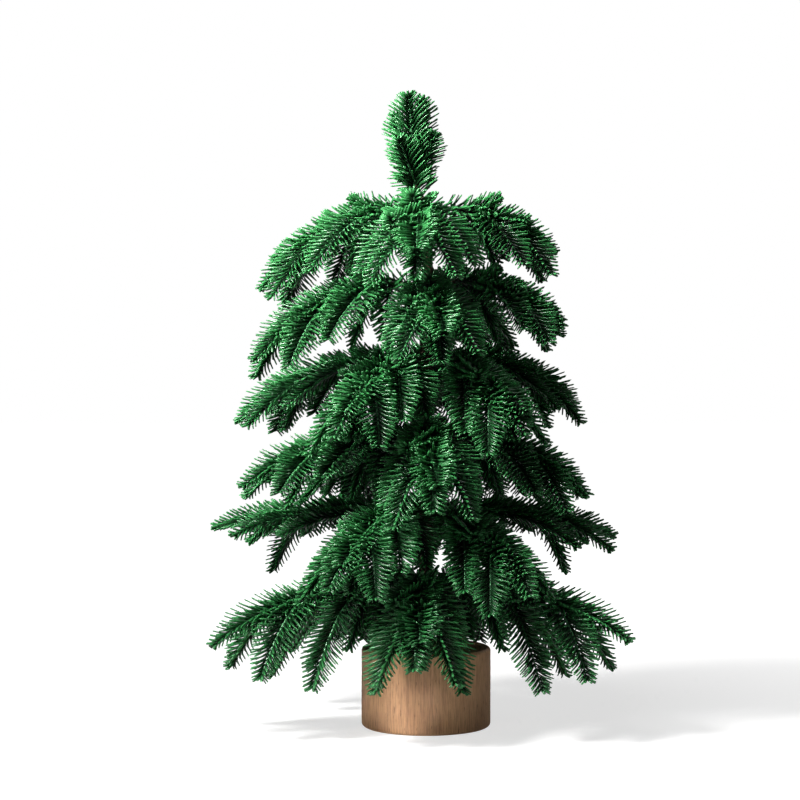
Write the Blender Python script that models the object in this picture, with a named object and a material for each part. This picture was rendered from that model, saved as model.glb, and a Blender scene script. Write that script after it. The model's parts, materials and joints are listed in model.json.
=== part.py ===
"""Artificial tabletop fir tree: a wooden base, a taped trunk and hinged branches of moulded sprigs.

Metres, +Z up. The origin is the centre of the base's underside.
"""

import math

import bmesh
import bpy
from mathutils import Vector

# Base, core rod and trunk
BASE_RADIUS = 0.045
BASE_HEIGHT = 0.055
BASE_EDGE = 0.0025
SOCKET_DEPTH = 0.035
CORE_RADIUS = 0.0025
TRUNK_RADIUS = 0.005
TRUNK_TOP = 0.362
GAP = 0.0003
ROUND_SIDES = 32
TRUNK_SIDES = 16

# Branches: wire and bend. The crown of a branch's arch is at this share of its reach
STEM_RADIUS = 0.0018
STEM_SIDES = 8
STEM_LENGTH = 0.011
CROWN_OUT = 0.64

# One sprig's solid: share of its length, full width and full thickness there
MAIN_SECTIONS = ((0.0, 0.006, 0.005), (0.3, 0.018, 0.009), (0.72, 0.026, 0.010), (1.0, 0.010, 0.005))
SIDE_SECTIONS = ((0.0, 0.005, 0.004), (0.35, 0.021, 0.009), (0.75, 0.025, 0.009), (1.0, 0.010, 0.005))
LEADER_SECTIONS = ((0.0, 0.008, 0.008), (0.25, 0.026, 0.020), (0.75, 0.030, 0.022), (1.0, 0.012, 0.010))
SECTION_SIDES = 4

# Side sprigs of a branch, two on each side of the main wire: where each forks off, as a share of the
# foliage's length, its splay as a share of the gap to the next branch, the most that splay may be, its
# length, and its drop, as a share of the branch's own drop plus a part that is always there
PLUS_SIDE = ((0.16, 0.53, 58, 0.058, 0.35, 0.008), (0.46, 0.56, 44, 0.050, 0.38, 0.003))
MINUS_SIDE = ((0.22, 0.53, 58, 0.058, 0.35, 0.012), (0.52, 0.56, 44, 0.047, 0.40, 0.005))
# In the lowest tier the side sprigs hang steeply instead: their tips end at these heights, inner then outer
SKIRT_HEIGHTS = (0.037, 0.045)
# Side wires are bound on this far under the main wire
BOUND_BELOW = 0.0008
# Side sprigs are shorter on a branch of less than full reach, down to this share
FULL_REACH, SHORTEST_SIDE = 0.125, 0.8
# Short sprigs that stand up over the main wire: fork, turn in degrees, length outwards and rise of the tip
UPPER_SPRIGS = ((0.03, -4, 0.028, 0.006), (0.22, -26, 0.034, -0.006), (0.50, 6, 0.032, -0.019))
# Sprigs that hang under the main wire, in the same terms
UNDER_SPRIGS = ((0.04, 60, 0.029, -0.034), (0.09, 3, 0.022, -0.038), (0.39, 5, 0.031, -0.040))

# Tiers from the top down: height, then each branch's azimuth, lift over that height, reach, rise of its
# crown and drop of its tip
TIERS = (
    (
        0.3595,
        (
            (171, 0.000, 0.114, -0.002, 0.054),
            (2, 0.000, 0.082, -0.002, 0.032),
            (-98, 0.000, 0.072, -0.002, 0.048),
        ),
    ),
    (
        0.306,
        (
            (201, 0.000, 0.122, 0.002, 0.050),
            (-16, 0.002, 0.094, 0.004, 0.032),
            (-86, -0.003, 0.084, 0.000, 0.042),
            (64, 0.004, 0.098, 0.002, 0.046),
        ),
    ),
    (
        0.253,
        (
            (160, 0.000, 0.139, 0.004, 0.042),
            (18, 0.000, 0.109, 0.006, 0.032),
            (-50, 0.001, 0.098, 0.001, 0.047),
            (-126, 0.000, 0.102, 0.002, 0.048),
            (90, 0.000, 0.112, 0.002, 0.048),
        ),
    ),
    (
        0.200,
        (
            (198, 0.000, 0.128, 0.004, 0.030),
            (-18, 0.000, 0.112, 0.006, 0.036),
            (-88, 0.006, 0.100, 0.002, 0.048),
            (54, 0.000, 0.120, 0.002, 0.044),
            (126, 0.000, 0.120, 0.002, 0.044),
        ),
    ),
    (
        0.148,
        (
            (162, 0.000, 0.155, 0.003, 0.014),
            (18, 0.000, 0.138, 0.004, 0.019),
            (-54, -0.002, 0.112, 0.002, 0.044),
            (-124, 0.004, 0.114, 0.002, 0.046),
            (90, 0.000, 0.130, 0.002, 0.040),
        ),
    ),
    (
        0.094,
        (
            (200, 0.000, 0.150, 0.012, 0.030),
            (-24, 0.000, 0.145, 0.012, 0.026),
            (-95, 0.007, 0.102, 0.006, 0.046),
            (54, 0.000, 0.130, 0.010, 0.034),
            (126, 0.000, 0.130, 0.010, 0.034),
        ),
    ),
)

# Leader: where its sprigs start, and the tips of the main one and of those beside it
LEADER_START = Vector((-0.008, 0.0, 0.3705))
LEADER_TIPS = (
    Vector((-0.012, 0.0, 0.434)),
    Vector((-0.002, 0.008, 0.432)),
    Vector((-0.021, 0.006, 0.421)),
    Vector((0.005, 0.002, 0.408)),
    Vector((-0.018, -0.010, 0.404)),
)
LEADER_UPRIGHT = 0.020
LEADER_FORK = 0.007

# Colour (linear), roughness and metallic of each material
FINISHES = {
    "beech_wood": ((0.50, 0.28, 0.15), 0.55, 0.0),
    "steel": ((0.55, 0.55, 0.56), 0.35, 1.0),
    "brown_tape": ((0.10, 0.055, 0.03), 0.8, 0.0),
    "fir_green": ((0.012, 0.13, 0.045), 0.5, 0.0),
}


def clear_scene():
    for obj in list(bpy.data.objects):
        bpy.data.objects.remove(obj)


def material(name):
    colour, roughness, metallic = FINISHES[name]
    made = bpy.data.materials.get(name) or bpy.data.materials.new(name)
    made.use_nodes = True
    shader = made.node_tree.nodes["Principled BSDF"]
    shader.inputs["Base Color"].default_value = (*colour, 1.0)
    shader.inputs["Roughness"].default_value = roughness
    shader.inputs["Metallic"].default_value = metallic
    return made


def object_from(name, mesh, finish, origin=Vector()):
    """Links a mesh whose points are in world space as an object with its origin at the given point."""
    for vertex in mesh.vertices:
        vertex.co -= origin
    mesh.shade_smooth()
    mesh.set_sharp_from_angle(angle=math.radians(50))
    mesh.materials.append(material(finish))
    obj = bpy.data.objects.new(name, mesh)
    obj.location = origin
    bpy.context.scene.collection.objects.link(obj)
    return obj


def turned(name, outline, sides, finish):
    """A solid of revolution about Z from (radius, height) points that start and end on the axis."""
    shape = bmesh.new()
    points = [shape.verts.new((radius, 0, height)) for radius, height in outline]
    edges = [shape.edges.new(pair) for pair in zip(points, points[1:])]
    bmesh.ops.spin(
        shape,
        geom=points + edges,
        axis=(0, 0, 1),
        cent=(0, 0, 0),
        angle=math.tau,
        steps=sides,
        use_merge=True,
    )
    bmesh.ops.remove_doubles(shape, verts=shape.verts, dist=1e-6)
    bmesh.ops.recalc_face_normals(shape, faces=shape.faces)
    mesh = bpy.data.meshes.new(name)
    shape.to_mesh(mesh)
    shape.free()
    return object_from(name, mesh, finish)


def loft(name, rings):
    """A closed mesh through rings of points; a ring of one point closes an end to a tip."""
    shape = bmesh.new()
    made = [[shape.verts.new(point) for point in ring] for ring in rings]
    for first, second in zip(made, made[1:]):
        count = max(len(first), len(second))
        for index in range(count):
            corners = [
                first[index % len(first)],
                first[(index + 1) % len(first)],
                second[(index + 1) % len(second)],
                second[index % len(second)],
            ]
            shape.faces.new(list(dict.fromkeys(corners)))
    for ring in (made[0], made[-1]):
        if len(ring) > 1:
            shape.faces.new(ring)
    bmesh.ops.recalc_face_normals(shape, faces=shape.faces)
    mesh = bpy.data.meshes.new(name)
    shape.to_mesh(mesh)
    shape.free()
    return mesh


def section(centre, along, width, thickness, sides):
    """A flat oval ring of points round a centre, wide sideways and thin in the direction it faces."""
    across = along.cross(Vector((0, 0, 1)))
    if across.length < 0.3:
        across = Vector((1, 0, 0))
    across.normalize()
    upward = across.cross(along).normalized()
    angles = [math.tau * index / sides for index in range(sides)]
    return [
        centre + across * (math.cos(angle) * width / 2) + upward * (math.sin(angle) * thickness / 2)
        for angle in angles
    ]


def arched(start, crown, end, share):
    """Point and direction on the quadratic curve from start over crown to end."""
    point = start * (1 - share) ** 2 + crown * 2 * share * (1 - share) + end * share**2
    along = (crown - start) * (1 - share) + (end - crown) * share
    return point, along.normalized()


def heading(azimuth):
    angle = math.radians(azimuth)
    return Vector((math.cos(angle), math.sin(angle), 0))


def branch_curve(root_height, azimuth, reach, rise, drop):
    """Root, crown and tip of a branch's main wire. The root is the centre of its bend at the trunk."""
    outward = heading(azimuth)
    root_radius = TRUNK_RADIUS + GAP + STEM_RADIUS
    root = outward * root_radius + Vector((0, 0, root_height))
    crown = outward * (reach * CROWN_OUT) + Vector((0, 0, root_height + rise))
    end = outward * reach + Vector((0, 0, root_height - drop))
    return root, crown, end


def side_curve(curve, azimuth, fork, length, drop, tip_height=None):
    """Start, crown and end of a side sprig that forks off the main wire."""
    start, along = arched(*curve, fork)
    start.z -= BOUND_BELOW
    outward = heading(azimuth)
    crown = start + outward * (length * 0.5) + Vector((0, 0, along.z * length * 0.5))
    end = start + outward * length + Vector((0, 0, along.z * length - drop))
    if tip_height is not None:
        end.z = tip_height
    return start, crown, end


def side_curves(curve, azimuth, drop, first, gaps, tip_heights):
    """The curves of a branch's side sprigs. The foliage starts at the share first of its main wire."""
    curves = []
    shorter = min(1, max(SHORTEST_SIDE, Vector(curve[2].xy).length / FULL_REACH))
    for turn, gap, side in ((1, gaps[0], PLUS_SIDE), (-1, gaps[1], MINUS_SIDE)):
        for (fork, share, most, length, drop_share, drop_more), tip_height in zip(side, tip_heights):
            heading_to = azimuth + turn * min(most, share * gap)
            start = first + (1 - first) * fork
            side_drop = drop * drop_share + drop_more
            curves.append(side_curve(curve, heading_to, start, length * shorter, side_drop, tip_height))
    for fork, turn, length, rise in UPPER_SPRIGS + UNDER_SPRIGS:
        start = first + (1 - first) * fork
        tip_height = arched(*curve, start)[0].z + rise
        curves.append(side_curve(curve, azimuth + turn, start, length, 0, tip_height))
    return curves


def sprig_mesh(name, curve, sections, start_share=0.0):
    rings = []
    for share, width, thickness in sections:
        centre, along = arched(*curve, start_share + (1 - start_share) * share)
        rings.append(section(centre, along, width, thickness, SECTION_SIDES))
    return loft(name, rings)


def keep_largest_island(mesh):
    """Drops the slivers that a union can leave beside the body."""
    shape = bmesh.new()
    shape.from_mesh(mesh)
    bmesh.ops.triangulate(shape, faces=shape.faces)
    left = set(shape.faces)
    islands = []
    while left:
        island = grow = {left.pop()}
        while grow:
            edges = {edge for face in grow for edge in face.edges if edge.is_manifold}
            grow = {near for edge in edges for near in edge.link_faces} & left
            left -= grow
            island = island | grow
        islands.append(island)
    islands.sort(key=len)
    extra = [face for island in islands[:-1] for face in island]
    bmesh.ops.delete(shape, geom=extra, context="FACES")
    shape.to_mesh(mesh)
    shape.free()


def united(name, meshes, finish, origin):
    """One body from overlapping meshes, by Boolean unions."""
    body = object_from(name, meshes[0], finish, origin)
    helpers = []
    for mesh in meshes[1:]:
        helper = object_from(name + "_side", mesh, finish, origin)
        helper.hide_render = True
        helper.display_type = "WIRE"
        union = body.modifiers.new("union", "BOOLEAN")
        union.operation = "UNION"
        union.solver = "MANIFOLD"
        union.object = helper
        helpers.append(helper)
    bpy.context.view_layer.update()
    evaluated = body.evaluated_get(bpy.context.evaluated_depsgraph_get())
    result = bpy.data.meshes.new_from_object(evaluated)
    keep_largest_island(result)
    body.modifiers.clear()
    body.data = result
    for helper in helpers:
        bpy.data.objects.remove(helper)
    return body


def stem_rings(curve, last_share):
    """A round wire from its rounded root, centred on the bend, to a flat end."""
    root, along = arched(*curve, 0.0)
    rings = [[root - along * STEM_RADIUS]]
    for angle in (50, 20):
        back = STEM_RADIUS * math.sin(math.radians(angle))
        around = STEM_RADIUS * math.cos(math.radians(angle)) * 2
        rings.append(section(root - along * back, along, around, around, STEM_SIDES))
    for share in (0.0, last_share):
        centre, along = arched(*curve, share)
        rings.append(section(centre, along, STEM_RADIUS * 2, STEM_RADIUS * 2, STEM_SIDES))
    return rings


def branch(name, tier_height, row, gaps, tip_heights):
    azimuth, lift, reach, rise, drop = row
    curve = branch_curve(tier_height + lift, azimuth, reach, rise, drop)
    root = curve[0]
    first = STEM_LENGTH / reach
    stem = loft(name, stem_rings(curve, (STEM_LENGTH - GAP) / reach))
    object_from(name + "_stem", stem, "brown_tape", root)
    meshes = [sprig_mesh(name, curve, MAIN_SECTIONS, first)]
    for side in side_curves(curve, azimuth, drop, first, gaps, tip_heights):
        meshes.append(sprig_mesh(name, side, SIDE_SECTIONS))
    united(name + "_foliage", meshes, "fir_green", root)


def side_gaps(azimuth, azimuths):
    """Degrees from one azimuth to the next one, counter-clockwise then clockwise."""
    others = [other for other in azimuths if other != azimuth]
    ahead = min((other - azimuth) % 360 for other in others)
    behind = min((azimuth - other) % 360 for other in others)
    return ahead, behind


def leader():
    root = Vector((0, 0, TRUNK_TOP + GAP + STEM_RADIUS))
    below = LEADER_START - Vector((0, 0, GAP))
    curve = (root, below - Vector((0, 0, STEM_RADIUS * 2)), below)
    object_from("leader_stem", loft("leader_stem", stem_rings(curve, 1.0)), "brown_tape", root)
    upright = LEADER_START + Vector((0, 0, LEADER_UPRIGHT))
    meshes = [sprig_mesh("leader", (LEADER_START, upright, LEADER_TIPS[0]), LEADER_SECTIONS)]
    fork = LEADER_START + Vector((0, 0, LEADER_FORK))
    for tip in LEADER_TIPS[1:]:
        meshes.append(sprig_mesh("leader", (fork, (fork + tip) / 2, tip), SIDE_SECTIONS))
    united("leader_foliage", meshes, "fir_green", root)


def base_block():
    socket = CORE_RADIUS + GAP
    edge = BASE_EDGE
    ease = edge * (1 - math.sqrt(0.5))
    outline = [
        (0, 0),
        (BASE_RADIUS - edge, 0),
        (BASE_RADIUS - ease, ease),
        (BASE_RADIUS, edge),
        (BASE_RADIUS, BASE_HEIGHT - edge),
        (BASE_RADIUS - ease, BASE_HEIGHT - ease),
        (BASE_RADIUS - edge, BASE_HEIGHT),
        (socket, BASE_HEIGHT),
        (socket, BASE_HEIGHT - SOCKET_DEPTH),
        (0, BASE_HEIGHT - SOCKET_DEPTH),
    ]
    turned("base_block", outline, ROUND_SIDES, "beech_wood")


def trunk():
    core_top = TRUNK_TOP - 0.002
    core_foot = BASE_HEIGHT - SOCKET_DEPTH + GAP
    outline = [(0, core_foot), (CORE_RADIUS, core_foot), (CORE_RADIUS, core_top), (0, core_top)]
    turned("trunk_core", outline, TRUNK_SIDES, "steel")
    bore = CORE_RADIUS + GAP
    foot = BASE_HEIGHT + GAP
    roof = core_top + GAP
    outline = [
        (0, TRUNK_TOP),
        (TRUNK_RADIUS, TRUNK_TOP),
        (TRUNK_RADIUS, foot),
        (bore, foot),
        (bore, roof),
        (0, roof),
    ]
    turned("trunk_wrap", outline, TRUNK_SIDES, "brown_tape")


def main():
    clear_scene()
    base_block()
    trunk()
    leader()
    number = 1
    for tier_height, branches in TIERS:
        azimuths = [row[0] for row in branches]
        tip_heights = SKIRT_HEIGHTS if tier_height == TIERS[-1][0] else (None, None)
        for row in branches:
            branch(f"branch_{number:02d}", tier_height, row, side_gaps(row[0], azimuths), tip_heights)
            number += 1


main()
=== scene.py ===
"""Looks of the artificial tabletop fir tree: moulded sprigs, taped wires and trunk, turned wooden base.

Metres, +Z up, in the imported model's frame.
"""

import json
import math

import bpy
import numpy as np
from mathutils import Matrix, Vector

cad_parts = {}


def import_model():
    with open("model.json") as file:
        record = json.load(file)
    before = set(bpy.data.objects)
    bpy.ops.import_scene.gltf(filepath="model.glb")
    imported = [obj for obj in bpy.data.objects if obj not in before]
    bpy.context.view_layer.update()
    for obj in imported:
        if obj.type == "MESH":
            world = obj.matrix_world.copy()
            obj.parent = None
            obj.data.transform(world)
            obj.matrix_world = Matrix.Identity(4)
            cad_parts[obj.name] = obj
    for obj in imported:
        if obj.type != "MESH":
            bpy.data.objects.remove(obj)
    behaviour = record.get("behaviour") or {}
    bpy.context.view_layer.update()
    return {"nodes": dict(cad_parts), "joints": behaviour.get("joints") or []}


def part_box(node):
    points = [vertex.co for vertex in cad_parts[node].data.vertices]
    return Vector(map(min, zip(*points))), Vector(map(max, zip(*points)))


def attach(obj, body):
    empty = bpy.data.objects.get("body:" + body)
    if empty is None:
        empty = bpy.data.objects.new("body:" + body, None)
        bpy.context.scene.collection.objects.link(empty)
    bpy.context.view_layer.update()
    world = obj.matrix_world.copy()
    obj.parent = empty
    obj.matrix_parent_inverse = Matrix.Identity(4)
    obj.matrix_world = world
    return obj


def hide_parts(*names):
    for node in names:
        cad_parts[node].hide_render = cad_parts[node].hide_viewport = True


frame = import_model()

# How each branch's CAD solids were laid out along its main wire
STEM_LENGTH = 0.011
STEM_GAP = 0.0003
# Side sprigs, two on each side: fork as a share of the foliage, splay as a share of the gap to the next
# branch, the most that splay may be, length, and drop as a share of the branch's drop plus a fixed part
PLUS_SIDE = ((0.16, 0.53, 58, 0.058, 0.35, 0.008), (0.46, 0.56, 44, 0.050, 0.38, 0.003))
MINUS_SIDE = ((0.22, 0.53, 58, 0.058, 0.35, 0.012), (0.52, 0.56, 44, 0.047, 0.40, 0.005))
# Heights of the lowest tier's side tips over the table
SKIRT_HEIGHTS = (0.037, 0.045)
# A side wire starts this far under the main wire, as bound on
BOUND_BELOW = 0.0008
# Side sprigs of a branch that reaches less than this are shorter, down to a share of their length
FULL_REACH, SHORTEST_SIDE = 0.125, 0.8
# Sprigs that stand up over the main wire or hang under it: fork, turn, length outwards and rise of the tip
UPPER_SPRIGS = ((0.03, -4, 0.028, 0.006), (0.22, -26, 0.034, -0.006), (0.50, 6, 0.032, -0.019))
UNDER_SPRIGS = ((0.04, 60, 0.029, -0.034), (0.09, 3, 0.022, -0.038), (0.39, 5, 0.031, -0.040))
# Branch roots of one tier are within this height of each other
TIER_SPREAD = 0.026
# Points this near a solid's farthest one belong to its flat end
BRANCH_END, STEM_END, LEADER_END = 0.0062, 0.0045, 0.0075

# Leader: its side sprigs fork this far up, and their tips lie at these offsets from the top
LEADER_FORK_HEIGHT = 0.007
LEADER_SIDE_TIPS = (
    (0.010, 0.008, -0.002),
    (-0.009, 0.006, -0.013),
    (0.017, 0.002, -0.026),
    (-0.006, -0.010, -0.030),
)
# The leader's curves stand upright, so their up vector points to the front
TO_FRONT = (0, -1, 0)

# Needles: size, spacing along a twig, and the places of their rows round it in degrees from its top
NEEDLE_LENGTH = 0.0200
NEEDLE_HALF_WIDTH = 0.00112
NEEDLE_HALF_THICK = 0.00060
# Share of the needle's length and share of its full width at each ring of points; the tip comes last
NEEDLE_RINGS = ((0.0, 0.70), (0.45, 1.0), (0.93, 0.80))
ROW_SPACING = 0.0036
SIDE_ROWS = (-106, -78, -48, 48, 78, 106)
ROUND_ROWS = (-150, -114, -82, -54, 54, 82, 114, 150)
OUTER_ROWS = (-150, -108, -66, 66, 108, 150)
# Degrees between twig and needle, at the needle's foot and at its tip
SPRIG_LEAN, LEADER_LEAN, NECK_LEAN = (42, 66), (34, 62), (54, 78)
# Length of twig over which needles get shorter towards its tip
SPRIG_TIP_REACH, LEADER_TIP_REACH, NECK_TIP_REACH = 0.034, 0.016, 0.001
# Painted light: the leader's needles are made paler than the rest, as the top of the tree stands in the
# strongest light
LEADER_PAINTED_LIGHT = 0.45
LEADER_SIDE_NEEDLES = 0.88
TWIG_RADIUS = 0.0011
# Bare wire before the first needles of a branch's main sprig, its side sprigs and those over or under it
MAIN_BARE, SIDE_BARE, MIDDLE_BARE = 0.006, 0.004, 0.002

# Tape on the wires: pitch of its turns, height of the lapped edge, and the mesh's sides and step
WIRE_TAPE = {"pitch": 0.0035, "lip": 0.0003, "sides": 12, "step": 0.00045}
BRANCH_WIRE_RADIUS, LEADER_WIRE_RADIUS = 0.00150, 0.00155
BRANCH_WIRE_LENGTH = 0.034

# First numbers of the random draws; a branch adds its own number
SPRIG_SEED, WIRE_SEED, LEADER_SEED, LEADER_WIRE_SEED, TRUNK_SEED, BASE_SEED = 0, 500, 900, 950, 77, 31

# Studio: name, place, target, size, watts, colour and spread in degrees of each lamp
LAMPS = (
    ("key", (-0.54, -0.37, 0.77), (-0.01, 0.0, 0.39), 0.20, 6.3, (1.0, 0.985, 0.97), 95),
    ("top", (-0.35, -0.55, 1.5), (-0.01, 0.0, 0.36), 0.5, 6, (1.0, 1.0, 1.0), 180),
    ("fill", (1.6, -1.3, 0.7), (-0.01, 0.0, 0.22), 1.2, 0.4, (1.0, 0.95, 0.92), 180),
    ("back", (1.2, 1.0, 1.0), (-0.01, 0.0, 0.22), 1.0, 4.5, (1.0, 1.0, 1.0), 180),
    ("low", (-0.55, -0.75, 0.12), (-0.004, 0.0, 0.022), 0.07, 0.0095, (1.0, 1.0, 1.0), 9),
)
WORLD_SEEN, WORLD_LIGHT = 1.0, 0.03
FLOOR_HALF_SIZE = 6.0
CAMERA_PLACE, CAMERA_TARGET = (-0.018, -1.5, 0.2622), (-0.018, 0.0, 0.2262)
CAMERA_LENS, CAMERA_SENSOR, CAMERA_CLIP = 97.4, 36, (0.05, 60)


def world_points(node):
    """Points of a CAD node's mesh, in the shared frame."""
    return np.array([vertex.co for vertex in frame["nodes"][node].data.vertices])


def unit(vector):
    return vector / np.linalg.norm(vector, axis=-1, keepdims=True)


def column(values):
    return values[:, None]


def raised(point, height):
    return point + np.array([0, 0, height])


def mesh_object(name, points, faces_by_size, attributes=None, smooth=True):
    """An object from points and lists of same-sized faces."""
    loops = np.concatenate([faces.reshape(-1) for faces in faces_by_size])
    sizes = np.concatenate([np.full(len(faces), faces.shape[1]) for faces in faces_by_size])
    mesh = bpy.data.meshes.new(name)
    mesh.vertices.add(len(points))
    mesh.vertices.foreach_set("co", points.astype(np.float32).reshape(-1))
    mesh.loops.add(len(loops))
    mesh.loops.foreach_set("vertex_index", loops.astype(np.int32))
    mesh.polygons.add(len(sizes))
    mesh.polygons.foreach_set("loop_start", np.concatenate([[0], np.cumsum(sizes)[:-1]]).astype(np.int32))
    mesh.update(calc_edges=True)
    for key, values in (attributes or {}).items():
        made = mesh.attributes.new(key, "FLOAT", "POINT")
        made.data.foreach_set("value", values.astype(np.float32))
    if smooth:
        mesh.shade_smooth()
    obj = bpy.data.objects.new(name, mesh)
    bpy.context.scene.collection.objects.link(obj)
    return obj


def tube_faces(number, sides):
    """Quads of a closed tube's rings and triangles of its two ends, whose centres are its last two points."""
    ring = np.arange(number - 1)[:, None] * sides
    side = np.arange(sides)[None]
    after = (side + 1) % sides
    quads = np.stack([ring + side, ring + sides + side, ring + sides + after, ring + after], axis=-1)
    near, far, last = number * sides, number * sides + 1, (number - 1) * sides
    caps = [[near, s, (s + 1) % sides] for s in range(sides)]
    caps += [[far, last + (s + 1) % sides, last + s] for s in range(sides)]
    return [quads.reshape(-1, 4), np.array(caps)]


def turned_object(name, radii, heights):
    """A closed round object on the Z axis, from one row of radii for each height."""
    number, sides = radii.shape
    turns = np.arange(sides) * math.tau / sides
    levels = np.repeat(heights[:, None], sides, axis=1)
    points = np.stack([radii * np.cos(turns), radii * np.sin(turns), levels], axis=-1).reshape(-1, 3)
    points = np.concatenate([points, [[0, 0, heights[0]], [0, 0, heights[-1]]]])
    # These rings run the other way round from a tube's along a curve
    faces = [np.roll(group[:, ::-1], 1, axis=1) for group in tube_faces(number, sides)]
    return mesh_object(name, points, faces)


def stand_in(piece, material, body, node):
    """Give a piece its material and its body, and let it stand for a CAD node."""
    piece.data.materials.append(material)
    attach(piece, body)
    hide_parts(node)


# ---------------------------------------------------------------- curves and sprigs


class Curve:
    """A quadratic curve from start over crown to end, walked by length, with its own frame."""

    def __init__(self, start, crown, end, upward=(0, 0, 1), roll=0.0):
        self.ends = [np.asarray(point, float) for point in (start, crown, end)]
        self.shares = np.linspace(0, 1, 81)
        points = self.at_share(self.shares)
        steps = np.linalg.norm(np.diff(points, axis=0), axis=1)
        self.walked = np.concatenate([[0], np.cumsum(steps)])
        self.length = self.walked[-1]
        self.upward = np.asarray(upward, float)
        self.roll = roll

    def at_share(self, share):
        start, crown, end = self.ends
        share = column(np.asarray(share))
        return start * (1 - share) ** 2 + crown * 2 * share * (1 - share) + end * share**2

    def frame_at(self, distance):
        """Points, directions, sideways and up vectors at distances along the curve."""
        share = np.interp(distance, self.walked, self.shares)
        start, crown, end = self.ends
        along = unit((crown - start) * column(1 - share) + (end - crown) * column(share))
        aside = unit(np.cross(along, self.upward))
        up = np.cross(aside, along)
        cosine, sine = math.cos(self.roll), math.sin(self.roll)
        turned_aside = aside * cosine + up * sine
        turned_up = up * cosine - aside * sine
        return self.at_share(share), along, turned_aside, turned_up


def smooth_step(value, low, high):
    """0 below low, 1 above high, and a smooth rise between them."""
    share = np.clip((value - low) / (high - low), 0, 1)
    return share * share * (3 - 2 * share)


def needle_points(base, along, radial, length, lean_from, lean_to, twist, curl):
    """Needles that leave a twig at one angle to it and bend out to another. Every argument is an array."""
    first = along * column(np.cos(lean_from)) + radial * column(np.sin(lean_from))
    last = along * column(np.cos(lean_to)) + radial * column(np.sin(lean_to))
    across = np.cross(along, radial)
    last = unit(last + across * column(curl))
    rings = []
    for share, width in NEEDLE_RINGS:
        centre = base + column(length) * (first * share + (last - first) * share**2 / 2)
        direction = unit(first * (1 - share) + last * share)
        wide = unit(across - direction * column((across * direction).sum(1)))
        thick = np.cross(direction, wide)
        cosine, sine = column(np.cos(twist)), column(np.sin(twist))
        wide, thick = wide * cosine + thick * sine, thick * cosine - wide * sine
        wide = wide * NEEDLE_HALF_WIDTH * width
        thick = thick * NEEDLE_HALF_THICK * width
        rings += [centre + wide, centre + thick, centre - wide, centre - thick]
    tip = base + column(length) * (first + last) / 2
    return np.stack(rings + [tip], axis=1)


# A needle's points are three rings of four and the tip
NEEDLE_QUADS = np.array(
    [
        [ring * 4 + side, ring * 4 + (side + 1) % 4, ring * 4 + 4 + (side + 1) % 4, ring * 4 + 4 + side]
        for ring in range(2)
        for side in range(4)
    ]
    + [[3, 2, 1, 0]]
)
NEEDLE_TRIS = np.array([[8 + side, 8 + (side + 1) % 4, 12] for side in range(4)])
NEEDLE_POINTS = 13
NEEDLE_ALONG = np.repeat([share for share, _ in NEEDLE_RINGS] + [1.0], [4, 4, 4, 1])


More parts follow.
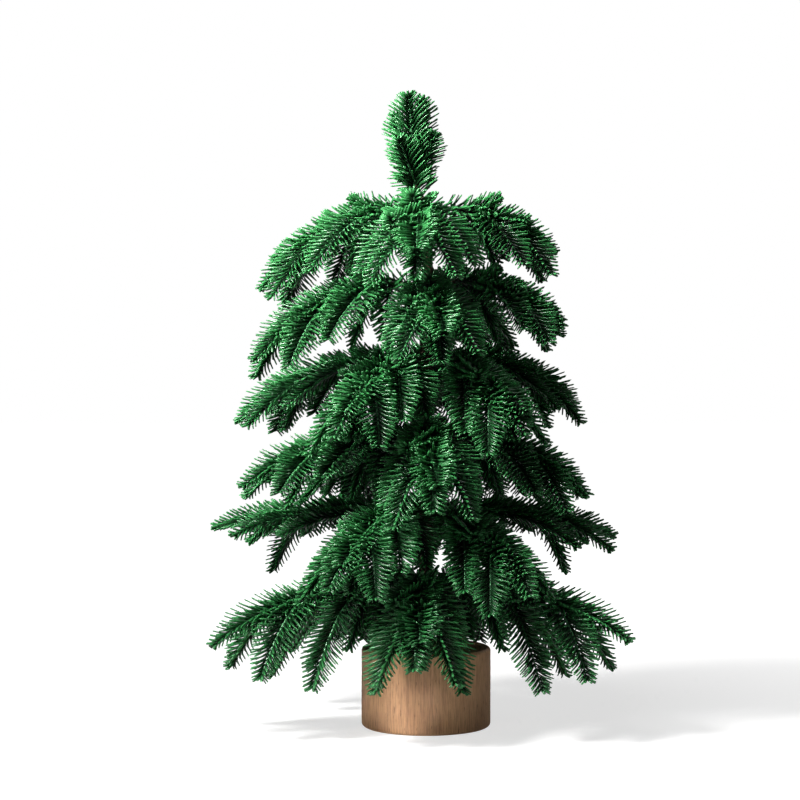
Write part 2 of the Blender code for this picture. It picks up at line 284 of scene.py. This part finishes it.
class Growth:
    """Collects the needles and twigs of one piece."""

    def __init__(self, seed):
        self.random = np.random.default_rng(seed)
        self.points, self.quads, self.tris, self.along, self.tone, self.twig = [], [], [], [], [], []
        self.count = 0

    def add(self, points, quads, tris, along, tone, twig):
        """Points and faces with, per point, the share along its needle and its tone; twig is 1 on a twig."""
        self.points.append(points)
        self.quads.append(quads + self.count)
        self.tris.append(tris + self.count)
        self.along.append(along)
        self.tone.append(tone)
        self.twig.append(np.full(len(points), twig))
        self.count += len(points)

    def needles(
        self, curve, rows, bare, lean=SPRIG_LEAN, length=NEEDLE_LENGTH, tip_reach=SPRIG_TIP_REACH, painted_light=0.0
    ):
        """Rows of needles round a curve from a bare length on, shorter and more forward near its tip."""
        random = self.random
        distances, angles = [], []
        for index, row in enumerate(rows):
            stagger = 0.5 * (min(index, len(rows) - 1 - index) % 2)
            offset = (stagger + random.uniform(-0.06, 0.06)) * ROW_SPACING
            stations = np.arange(bare + offset, curve.length, ROW_SPACING)
            stations = stations + random.normal(0, 0.05 * ROW_SPACING, len(stations))
            distances.append(np.clip(stations, 0, curve.length))
            angles.append(np.radians(row + random.normal(0, 2.5, len(stations))))
        # Five more spread over the tip
        distances.append(np.full(5, curve.length))
        angles.append(np.radians(np.arange(5) * 45 - 90 + random.normal(0, 4, 5)))
        distance, angle = np.concatenate(distances), np.concatenate(angles)
        number = len(distance)
        point, along, aside, up = curve.frame_at(distance)
        radial = up * column(np.cos(angle)) + aside * column(np.sin(angle))
        # Shares from 0 to 1: near the twig's tip, near its foot, in a flat sprig's lower rows, and on its top
        left = curve.length - distance
        young = np.clip(1 - left / min(tip_reach, 0.65 * curve.length), 0, 1) ** 1.15
        early = 1 - smooth_step(distance - bare, 0.0, 0.012)
        under = smooth_step(np.abs(np.degrees(angle)), 85, 135) if max(rows) < 150 else 0 * angle
        on_top = np.exp(-((np.degrees(angle) / 30) ** 2))
        size = length * (1 - 0.64 * young) * (1 - 0.18 * early) * (1 - 0.20 * under)
        size = size * (1 + random.normal(0, 0.035, number))
        lean_from = np.radians(lean[0] + 18 * early - 6 * young - 8 * on_top + random.normal(0, 2, number))
        lean_to = np.radians(lean[1] + 14 * early - 8 * young - 10 * on_top + random.normal(0, 2.5, number))
        base = point + radial * (TWIG_RADIUS * 0.4)
        twist = np.radians(random.normal(0, 10, number))
        curl = random.normal(0, 0.05, number)
        points = needle_points(base, along, radial, size, lean_from, lean_to, twist, curl)
        starts = (np.arange(number) * NEEDLE_POINTS)[:, None, None]
        # Part of a needle's tone is its whole sprig's, and part its own; the leader's tone is raised as
        # painted light
        tone = 0.6 * random.uniform(0, 1) + 0.4 * random.uniform(0, 1, number) + painted_light
        self.add(
            points.reshape(-1, 3),
            (NEEDLE_QUADS[None] + starts).reshape(-1, 4),
            (NEEDLE_TRIS[None] + starts).reshape(-1, 3),
            np.tile(NEEDLE_ALONG, number),
            np.repeat(tone, NEEDLE_POINTS),
            0.0,
        )

    def rod(self, curve, begin, finish, radius_from, radius_to, sides=6, step=0.006):
        """A closed round twig along part of a curve."""
        number = max(2, int((finish - begin) / step)) + 1
        distance = np.linspace(begin, finish, number)
        point, _, aside, up = curve.frame_at(distance)
        radius = column(np.linspace(radius_from, radius_to, number))
        turns = np.arange(sides) * math.tau / sides
        rings = [point + (up * math.sin(turn) + aside * math.cos(turn)) * radius for turn in turns]
        points = np.stack(rings, axis=1).reshape(-1, 3)
        points = np.concatenate([points, point[:1], point[-1:]])
        quads, caps = tube_faces(number, sides)
        plain = np.zeros(len(points))
        self.add(points, quads, caps, plain, plain, 1.0)

    def built(self, name):
        attributes = {
            "along": np.concatenate(self.along),
            "tone": np.concatenate(self.tone),
            "twig": np.concatenate(self.twig),
        }
        faces = [np.concatenate(self.quads), np.concatenate(self.tris)]
        return mesh_object(name, np.concatenate(self.points), faces, attributes, smooth=False)


# ---------------------------------------------------------------- materials


class Shader:
    """A small helper that builds a node tree for a Principled material."""

    def __init__(self, name):
        self.material = bpy.data.materials.new(name)
        self.material.use_nodes = True
        self.tree = self.material.node_tree
        self.principled = self.tree.nodes["Principled BSDF"]

    def node(self, kind, **settings):
        made = self.tree.nodes.new(kind)
        for key, value in settings.items():
            setattr(made, key, value)
        return made

    def link(self, output, target):
        self.tree.links.new(output, target)

    def feed(self, socket, value):
        """Link another node's output to a socket, or set the socket itself to a constant."""
        if isinstance(value, bpy.types.NodeSocket):
            self.link(value, socket)
        else:
            socket.default_value = value

    def set(self, socket, value):
        self.feed(self.principled.inputs[socket], value)

    def coordinates(self, scale=(1, 1, 1), location=(0, 0, 0)):
        source = self.node("ShaderNodeTexCoord")
        mapping = self.node("ShaderNodeMapping")
        mapping.inputs["Scale"].default_value = scale
        mapping.inputs["Location"].default_value = location
        self.link(source.outputs["Object"], mapping.inputs["Vector"])
        return mapping.outputs["Vector"]

    def noise(self, vector, scale, detail=3.0, roughness=0.5):
        made = self.node("ShaderNodeTexNoise")
        made.inputs["Scale"].default_value = scale
        made.inputs["Detail"].default_value = detail
        made.inputs["Roughness"].default_value = roughness
        self.link(vector, made.inputs["Vector"])
        return made.outputs["Fac"]

    def attribute(self, name):
        return self.node("ShaderNodeAttribute", attribute_name=name).outputs["Fac"]

    def ramp(self, value, stops):
        """A colour ramp; a stop is a place and a colour or a grey."""
        made = self.node("ShaderNodeValToRGB")
        elements = made.color_ramp.elements
        while len(elements) < len(stops):
            elements.new(1.0)
        for element, (place, colour) in zip(elements, stops):
            element.position = place
            element.color = (*colour, 1.0) if isinstance(colour, tuple) else (colour,) * 3 + (1.0,)
        self.link(value, made.inputs["Fac"])
        return made.outputs["Color"]

    def mix(self, share, first, second, blend="MIX"):
        made = self.node("ShaderNodeMix", data_type="RGBA", blend_type=blend)
        self.feed(made.inputs["Factor"], share)
        sockets = [socket for socket in made.inputs if socket.type == "RGBA"]
        self.feed(sockets[0], first)
        self.feed(sockets[1], second)
        return [socket for socket in made.outputs if socket.type == "RGBA"][0]

    def maths(self, operation, *values):
        made = self.node("ShaderNodeMath", operation=operation)
        for socket, value in zip(made.inputs, values):
            self.feed(socket, value)
        return made.outputs["Value"]

    def span(self, value, low, high):
        made = self.node("ShaderNodeMapRange")
        made.inputs["To Min"].default_value = low
        made.inputs["To Max"].default_value = high
        self.link(value, made.inputs["Value"])
        return made.outputs["Result"]

    def bump(self, height, distance, strength=1.0):
        made = self.node("ShaderNodeBump")
        made.inputs["Distance"].default_value = distance
        made.inputs["Strength"].default_value = strength
        self.link(height, made.inputs["Height"])
        self.link(made.outputs["Normal"], self.principled.inputs["Normal"])


def needle_material():
    """Moulded polyethylene: deep green, with a painted highlight that lightens the needle tips, painted shade
    that darkens the needle feet, and lighter along the midribs.
    """
    shader = Shader("fir_needles")
    place = shader.coordinates()
    patches = shader.noise(place, 28, 2)
    own = shader.maths("MULTIPLY", shader.attribute("tone"), 0.55)
    tone = shader.maths("ADD", own, shader.span(patches, -0.1, 0.55))
    dark, middle, pale = (0.0055, 0.055, 0.0135), (0.0120, 0.118, 0.0270), (0.0245, 0.200, 0.0505)
    body = shader.ramp(tone, [(0.0, dark), (0.5, middle), (1.0, pale)])
    # Painted highlight: the colour turns lighter and paler towards each needle's tip, standing in for the
    # gloss that shines on the needle ends
    tip = shader.ramp(tone, [(0.0, (0.0185, 0.150, 0.0365)), (1.0, (0.0695, 0.350, 0.1050))])
    along = shader.maths("POWER", shader.attribute("along"), 1.6)
    green = shader.mix(along, body, tip)
    # Painted shade: each needle is darkened towards its foot, where the needles crowd round the twig and
    # shade each other
    foot = shader.ramp(shader.attribute("along"), [(0.0, 0.10), (0.30, 0.36), (0.72, 1.0)])
    green = shader.mix(1.0, green, foot, "MULTIPLY")
    mottled = shader.noise(place, 260, 4)
    green = shader.mix(0.22, green, shader.ramp(mottled, [(0.3, 0.35), (0.7, 1.0)]), "MULTIPLY")
    rib = shader.ramp(mottled, [(0.3, (0.034, 0.170, 0.060)), (0.7, (0.085, 0.300, 0.120))])
    shader.set("Base Color", shader.mix(shader.attribute("twig"), green, rib))
    shader.set("Roughness", shader.span(shader.noise(place, 420, 2), 0.24, 0.44))
    shader.set("Specular IOR Level", 0.5)
    shader.bump(shader.noise(place, 1400, 3), 0.00012, 0.6)
    return shader.material


def tape_material():
    """Wound brown paper tape, with fibres along the strip and patches of darker and lighter brown."""
    shader = Shader("brown_tape")
    place = shader.coordinates()
    fibres = shader.noise(shader.coordinates((1, 1, 5)), 900, 4)
    patches = shader.noise(place, 60, 3)
    colour = shader.ramp(patches, [(0.3, (0.040, 0.026, 0.014)), (0.7, (0.105, 0.066, 0.036))])
    colour = shader.mix(0.35, colour, shader.ramp(fibres, [(0.35, 0.4), (0.65, 1.0)]), "MULTIPLY")
    shader.set("Base Color", colour)
    shader.set("Roughness", shader.span(fibres, 0.62, 0.9))
    shader.bump(fibres, 0.0002, 0.8)
    return shader.material


def wood_material():
    """Pale hardwood: fine upright grain with short dark pores on the side, rings on both ends."""
    shader = Shader("turned_wood")
    streaks = shader.noise(shader.coordinates((1, 1, 0.035)), 620, 5, 0.65)
    broad = shader.noise(shader.coordinates((1, 1, 0.10)), 42, 3, 0.5)
    flecks = shader.noise(shader.coordinates((1, 1, 0.16)), 760, 2, 0.5)
    base = shader.ramp(broad, [(0.30, (0.66, 0.378, 0.196)), (0.70, (0.74, 0.436, 0.236))])
    worn = shader.ramp(streaks, [(0.34, (0.48, 0.39, 0.31)), (0.60, (1.0, 1.0, 1.0))])
    base = shader.mix(0.30, base, worn, "MULTIPLY")
    fibres = shader.noise(shader.coordinates((1, 1, 0.07)), 1250, 3, 0.6)
    fine_grain = shader.ramp(fibres, [(0.38, (0.48, 0.41, 0.35)), (0.56, (1.0, 1.0, 1.0))])
    base = shader.mix(0.50, base, fine_grain, "MULTIPLY")
    pores = shader.ramp(flecks, [(0.66, (1.0, 1.0, 1.0)), (0.74, (0.30, 0.20, 0.14))])
    side = shader.mix(0.75, base, pores, "MULTIPLY")
    rings = shader.node("ShaderNodeTexWave", wave_type="RINGS", rings_direction="Z")
    rings.inputs["Scale"].default_value = 95
    rings.inputs["Distortion"].default_value = 1.6
    rings.inputs["Detail"].default_value = 3
    rings.inputs["Detail Scale"].default_value = 0.6
    # The rings' heart lies a little off the block's middle
    shader.link(shader.coordinates(location=(0.012, 0.008, 0)), rings.inputs["Vector"])
    late, early, between = (0.40, 0.225, 0.115), (0.62, 0.375, 0.21), (0.56, 0.33, 0.18)
    end = shader.ramp(rings.outputs["Fac"], [(0.0, late), (0.6, early), (1.0, between)])
    fine = shader.noise(shader.coordinates((1, 1, 0.09)), 900, 3)
    end = shader.mix(0.4, end, shader.ramp(fine, [(0.35, 0.5), (0.65, 1.0)]), "MULTIPLY")
    normal = shader.node("ShaderNodeNewGeometry")
    split = shader.node("ShaderNodeSeparateXYZ")
    shader.link(normal.outputs["Normal"], split.inputs["Vector"])
    facing = shader.maths("ABSOLUTE", split.outputs["Z"])
    on_end = shader.ramp(facing, [(0.80, 0.0), (0.95, 1.0)])
    shader.set("Base Color", shader.mix(on_end, side, end))
    shader.set("Roughness", shader.span(streaks, 0.48, 0.72))
    dents = shader.ramp(flecks, [(0.60, 0.0), (0.70, 1.0)])
    shader.bump(shader.maths("SUBTRACT", shader.maths("MULTIPLY", streaks, 0.6), dents), 0.00035, 0.8)
    return shader.material


def steel_material():
    """Drawn steel rod, with fine marks along it."""
    shader = Shader("drawn_steel")
    drawn = shader.noise(shader.coordinates((1, 1, 0.02)), 2200, 3)
    shader.set("Base Color", shader.ramp(drawn, [(0.3, (0.42, 0.42, 0.43)), (0.7, (0.62, 0.62, 0.63))]))
    shader.set("Metallic", 1.0)
    shader.set("Roughness", shader.span(drawn, 0.22, 0.42))
    shader.bump(drawn, 0.00005, 0.5)
    return shader.material


def floor_material():
    """Matt white paper that fades to plain white away from the tree."""
    shader = Shader("studio_paper")
    place = shader.coordinates()
    shade = shader.noise(place, 300, 4)
    shader.set("Base Color", shader.ramp(shade, [(0.3, (0.40, 0.40, 0.40)), (0.7, (0.42, 0.42, 0.42))]))
    shader.set("Roughness", 0.9)
    away = shader.node("ShaderNodeVectorMath", operation="LENGTH")
    shader.link(place, away.inputs[0])
    glow = shader.node("ShaderNodeMapRange", interpolation_type="SMOOTHSTEP")
    for socket, value in (("From Min", 0.15), ("From Max", 0.9), ("To Min", 0.66), ("To Max", 1.0)):
        glow.inputs[socket].default_value = value
    shader.link(away.outputs["Value"], glow.inputs["Value"])
    seen = shader.node("ShaderNodeLightPath").outputs["Is Camera Ray"]
    shader.set("Emission Color", (1.0, 1.0, 1.0, 1.0))
    shown = shader.maths("MULTIPLY", seen, glow.outputs["Result"])
    shader.set("Emission Strength", shader.maths("MAXIMUM", shown, 0.05))
    return shader.material


# ---------------------------------------------------------------- branches


def end_centre(points, outward, size):
    """Centre of a solid's flat end that reaches farthest along a direction."""
    tip = points[(points @ outward).argmax()]
    near = points[np.linalg.norm(points - tip, axis=1) < size]
    return np.unique(np.round(near, 6), axis=0).mean(axis=0)


def branch_facts():
    """Root, azimuth and main curve of every branch, read from the frame."""
    facts = []
    for joint in frame["joints"]:
        body = joint["child"]
        if not body.startswith("branch"):
            continue
        root = np.array(joint["pos_m"])
        azimuth = math.degrees(math.atan2(root[1], root[0]))
        outward = unit(np.array([root[0], root[1], 0.0]))
        end = end_centre(world_points(body + "_foliage"), outward, BRANCH_END)
        reach = float(end @ outward)
        share = (STEM_LENGTH - STEM_GAP) / reach
        stem_end = end_centre(world_points(body + "_stem"), outward, STEM_END)
        crown = (stem_end - root * (1 - share) ** 2 - end * share**2) / (2 * share * (1 - share))
        facts.append(
            {"body": body, "root": root, "azimuth": azimuth, "reach": reach, "crown": crown, "end": end}
        )
    return facts


def gaps_of(fact, facts):
    """Degrees from a branch to the next one on each side in its tier."""
    height = fact["root"][2]
    tier = [other for other in facts if abs(other["root"][2] - height) < TIER_SPREAD]
    others = [other["azimuth"] for other in tier if other is not fact]
    ahead = min((other - fact["azimuth"]) % 360 for other in others)
    behind = min((fact["azimuth"] - other) % 360 for other in others)
    return ahead, behind


def side_curve(main, azimuth, fork, length, drop, tip_height, roll):
    """A side sprig's curve: it leaves the main wire at its slope and sags by drop, or ends at tip_height."""
    start = raised(main.at_share([fork])[0], -BOUND_BELOW)
    first, crown, end = main.ends
    direction = unit((crown - first) * (1 - fork) + (end - crown) * fork)
    angle = math.radians(azimuth)
    outward = np.array([math.cos(angle), math.sin(angle), 0.0])
    rise = np.array([0, 0, direction[2]])
    middle = start + outward * (length * 0.5) + rise * (length * 0.5)
    tip = raised(start + outward * length + rise * length, -drop)
    if tip_height is not None:
        tip[2] = tip_height
    return Curve(start, middle, tip, roll=roll)


def sprig(growth, curve, bare):
    """One side sprig: its twig, and its needles from a bare length on."""
    growth.rod(curve, 0.0, curve.length, TWIG_RADIUS, TWIG_RADIUS * 0.55)
    growth.needles(curve, SIDE_ROWS, bare)


def dress_branch(fact, facts, number, needles):
    """One branch's eleven sprigs. Gives back its main curve."""
    growth = Growth(SPRIG_SEED + number)
    random = growth.random
    main = Curve(fact["root"], fact["crown"], fact["end"], roll=math.radians(random.uniform(-8, 8)))
    first = STEM_LENGTH / fact["reach"]
    drop = fact["root"][2] - fact["end"][2]
    lowest = min(other["root"][2] for other in facts)
    skirt = fact["root"][2] < lowest + TIER_SPREAD
    growth.rod(main, 0.008, main.length, TWIG_RADIUS * 1.3, TWIG_RADIUS * 0.6)
    growth.needles(main, SIDE_ROWS, MAIN_BARE)
    gaps = gaps_of(fact, facts)
    shorter = min(1, max(SHORTEST_SIDE, fact["reach"] / FULL_REACH))
    for turn, gap, side in ((1, gaps[0], PLUS_SIDE), (-1, gaps[1], MINUS_SIDE)):
        for (fork, share, most, length, drop_share, drop_more), tip in zip(side, SKIRT_HEIGHTS):
            heading = fact["azimuth"] + turn * min(most, share * gap)
            start = first + (1 - first) * fork
            roll = math.radians(turn * random.uniform(2, 16))
            fall = drop * drop_share + drop_more
            curve = side_curve(main, heading, start, length * shorter, fall, tip if skirt else None, roll)
            sprig(growth, curve, SIDE_BARE)
    for fork, turn, length, rise in UPPER_SPRIGS + UNDER_SPRIGS:
        start = first + (1 - first) * fork
        tip_height = main.at_share([start])[0][2] + rise
        roll = math.radians(random.uniform(-12, 12))
        curve = side_curve(main, fact["azimuth"] + turn, start, length, 0, tip_height, roll)
        sprig(growth, curve, MIDDLE_BARE)
    body = fact["body"]
    stand_in(growth.built(body + "_sprigs"), needles, body, body + "_foliage")
    return main


def taped_wire(name, curve, length, radius, seed, pitch, lip, sides, step):
    """A wire with tape wound round it: each turn laps over the last, so the surface steps in a helix."""
    random = np.random.default_rng(seed)
    number = int(length / step) + 1
    distance = np.linspace(0.0, length, number)
    point, _, aside, up = curve.frame_at(distance)
    turns = np.arange(sides) * math.tau / sides
    saw = (distance[:, None] / pitch + turns[None] / math.tau) % 1.0
    swell = np.interp(distance, np.linspace(0.0, length, 24), random.uniform(-1, 1, 24)) * 0.05
    radii = radius * (1 + swell[:, None]) + lip * (1 - smooth_step(saw, 0.0, 0.86))
    radii[[0, -1]] *= 0.72
    circle = up[:, None] * np.sin(turns)[None, :, None] + aside[:, None] * np.cos(turns)[None, :, None]
    points = (point[:, None] + circle * radii[:, :, None]).reshape(-1, 3)
    points = np.concatenate([points, point[:1], point[-1:]])
    return mesh_object(name, points, tube_faces(number, sides))


def dress_stem(fact, main, number, tape):
    """A branch's taped wire, from the trunk outwards along its main curve."""
    body = fact["body"]
    seed = WIRE_SEED + number
    wire = taped_wire(body + "_wire", main, BRANCH_WIRE_LENGTH, BRANCH_WIRE_RADIUS, seed, **WIRE_TAPE)
    stand_in(wire, tape, body, body + "_stem")


def dress_leader(needles, tape):
    """The leader's neck, main sprig and four side sprigs, and its taped wire."""
    joint = next(joint for joint in frame["joints"] if joint["child"] == "leader")
    root = np.array(joint["pos_m"])
    points = world_points("leader_foliage")
    tip = end_centre(points, np.array([0.0, 0.0, 1.0]), LEADER_END)
    foot = points[points[:, 2] < points[:, 2].min() + 0.0005].mean(axis=0)
    middle = (root + foot) / 2
    look = {"lean": LEADER_LEAN, "tip_reach": LEADER_TIP_REACH, "painted_light": LEADER_PAINTED_LIGHT}
    growth = Growth(LEADER_SEED)
    main = Curve(foot, raised(foot, 0.020), tip, TO_FRONT)
    growth.rod(main, 0.0, main.length, TWIG_RADIUS * 1.4, TWIG_RADIUS * 0.6)
    growth.needles(main, ROUND_ROWS, -0.006, **look)
    neck = Curve(raised(root, 0.001), middle, raised(foot, 0.010), TO_FRONT)
    growth.needles(neck, ROUND_ROWS, 0.004, NECK_LEAN, tip_reach=NECK_TIP_REACH, painted_light=LEADER_PAINTED_LIGHT)
    fork = raised(foot, LEADER_FORK_HEIGHT)
    for offset in LEADER_SIDE_TIPS:
        side_tip = tip + np.array(offset)
        curve = Curve(fork, (fork + side_tip) / 2, side_tip, TO_FRONT)
        growth.rod(curve, 0.0, curve.length, TWIG_RADIUS, TWIG_RADIUS * 0.6)
        growth.needles(curve, OUTER_ROWS, -0.003, length=NEEDLE_LENGTH * LEADER_SIDE_NEEDLES, **look)
    stand_in(growth.built("leader_sprigs"), needles, "leader", "leader_foliage")
    stem = Curve(raised(root, -0.0018), middle, raised(foot, 0.004), TO_FRONT)
    wire = taped_wire("leader_wire", stem, stem.length, LEADER_WIRE_RADIUS, LEADER_WIRE_SEED, **WIRE_TAPE)
    stand_in(wire, tape, "leader", "leader_stem")


# ---------------------------------------------------------------- trunk and base


def dress_trunk(tape):
    """The trunk's tape, whose lapped turns step in a helix."""
    low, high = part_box("trunk_wrap")
    radius = (high.x - low.x) / 2
    sides, step, pitch, lip = 40, 0.0011, 0.0085, 0.00045
    heights = np.linspace(low.z, high.z, int((high.z - low.z) / step) + 1)
    turns = np.arange(sides) * math.tau / sides
    saw = (heights[:, None] / pitch + turns[None] / math.tau) % 1.0
    random = np.random.default_rng(TRUNK_SEED)
    uneven = np.interp(heights, np.linspace(low.z, high.z, 60), random.uniform(-0.00015, 0.0001, 60))
    radii = radius - lip * smooth_step(saw, 0.0, 0.9) + uneven[:, None]
    radii[[0, -1]] *= 0.88
    stand_in(turned_object("trunk_taped", radii, heights), tape, "base", "trunk_wrap")


def dress_base(wood):
    """The block as turned and sanded by hand: eased edges, faintly uneven sides, a socket's mouth on top."""
    low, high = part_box("base_block")
    radius, height = (high.x - low.x) / 2, high.z
    ease, socket_radius, socket_depth = 0.0025, 0.0030, 0.004
    outline = [(0.6 * radius, 0.0)]
    for angle in np.linspace(-90, 0, 8):
        turn = math.radians(angle)
        outline.append((radius - ease + ease * math.cos(turn), ease + ease * math.sin(turn)))
    for share in np.linspace(0, 1, 24)[1:-1]:
        outline.append((radius, ease + (height - 2 * ease) * share))
    for angle in np.linspace(0, 90, 8):
        turn = math.radians(angle)
        outline.append((radius - ease + ease * math.cos(turn), height - ease + ease * math.sin(turn)))
    for share in np.linspace(0.93, 0.09, 12):
        outline.append((radius * share, height))
    outline += [(socket_radius + 0.0005, height), (socket_radius, height - 0.001)]
    outline += [(socket_radius, height - socket_depth)]
    sides = 144
    turns = np.arange(sides) * math.tau / sides
    random = np.random.default_rng(BASE_SEED)
    radii = []
    for reach, level in outline:
        wobble = 0.00012 * np.sin(turns * 3 + level * 40 + 1.0) + 0.00008 * np.sin(turns * 7 - level * 90)
        fine = random.normal(0, 0.00002, sides)
        radii.append(reach + (wobble + fine - 0.0002) * min(1.0, (reach / radius) ** 4))
    heights = np.array([level for _, level in outline])
    stand_in(turned_object("base_turned", np.array(radii), heights), wood, "base", "base_block")


# ---------------------------------------------------------------- studio


def floor():
    size = FLOOR_HALF_SIZE
    mesh = bpy.data.meshes.new("floor")
    corners = [(-size, -size, 0), (size, -size, 0), (size, size, 0), (-size, size, 0)]
    mesh.from_pydata(corners, [], [(0, 1, 2, 3)])
    obj = bpy.data.objects.new("floor", mesh)
    bpy.context.scene.collection.objects.link(obj)
    mesh.materials.append(floor_material())


def aimed(obj, place, target):
    """Put a lamp or the camera in its place and turn it to its target."""
    obj.location = place
    obj.rotation_euler = (Vector(target) - Vector(place)).to_track_quat("-Z", "Y").to_euler()
    bpy.context.scene.collection.objects.link(obj)


def world():
    """Plain white where the camera looks, and a faint even light everywhere else."""
    made = bpy.data.worlds.new("studio")
    bpy.context.scene.world = made
    made.use_nodes = True
    tree = made.node_tree
    seen, light = tree.nodes["Background"], tree.nodes.new("ShaderNodeBackground")
    for background, strength in ((seen, WORLD_SEEN), (light, WORLD_LIGHT)):
        background.inputs["Color"].default_value = (1, 1, 1, 1)
        background.inputs["Strength"].default_value = strength
    path = tree.nodes.new("ShaderNodeLightPath")
    mixed = tree.nodes.new("ShaderNodeMixShader")
    tree.links.new(path.outputs["Is Camera Ray"], mixed.inputs["Fac"])
    tree.links.new(light.outputs["Background"], mixed.inputs[1])
    tree.links.new(seen.outputs["Background"], mixed.inputs[2])
    tree.links.new(mixed.outputs["Shader"], tree.nodes["World Output"].inputs["Surface"])


def studio():
    floor()
    for name, place, target, size, watts, colour, spread in LAMPS:
        light = bpy.data.lights.new(name, "AREA")
        light.size = size
        light.energy = watts
        light.color = colour
        light.spread = math.radians(spread)
        aimed(bpy.data.objects.new(name, light), place, target)
    world()
    bpy.context.scene.view_settings.view_transform = "Standard"


def camera():
    view = bpy.data.cameras.new("camera")
    view.lens = CAMERA_LENS
    view.sensor_width = CAMERA_SENSOR
    view.clip_start, view.clip_end = CAMERA_CLIP
    obj = bpy.data.objects.new("camera", view)
    aimed(obj, CAMERA_PLACE, CAMERA_TARGET)
    bpy.context.scene.camera = obj


def main():
    needles, tape, wood, steel = needle_material(), tape_material(), wood_material(), steel_material()
    facts = branch_facts()
    for number, fact in enumerate(facts, 1):
        curve = dress_branch(fact, facts, number, needles)
        dress_stem(fact, curve, number, tape)
    dress_leader(needles, tape)
    dress_trunk(tape)
    dress_base(wood)
    core = frame["nodes"]["trunk_core"]
    core.data.materials.clear()
    core.data.materials.append(steel)
    studio()
    camera()


main()
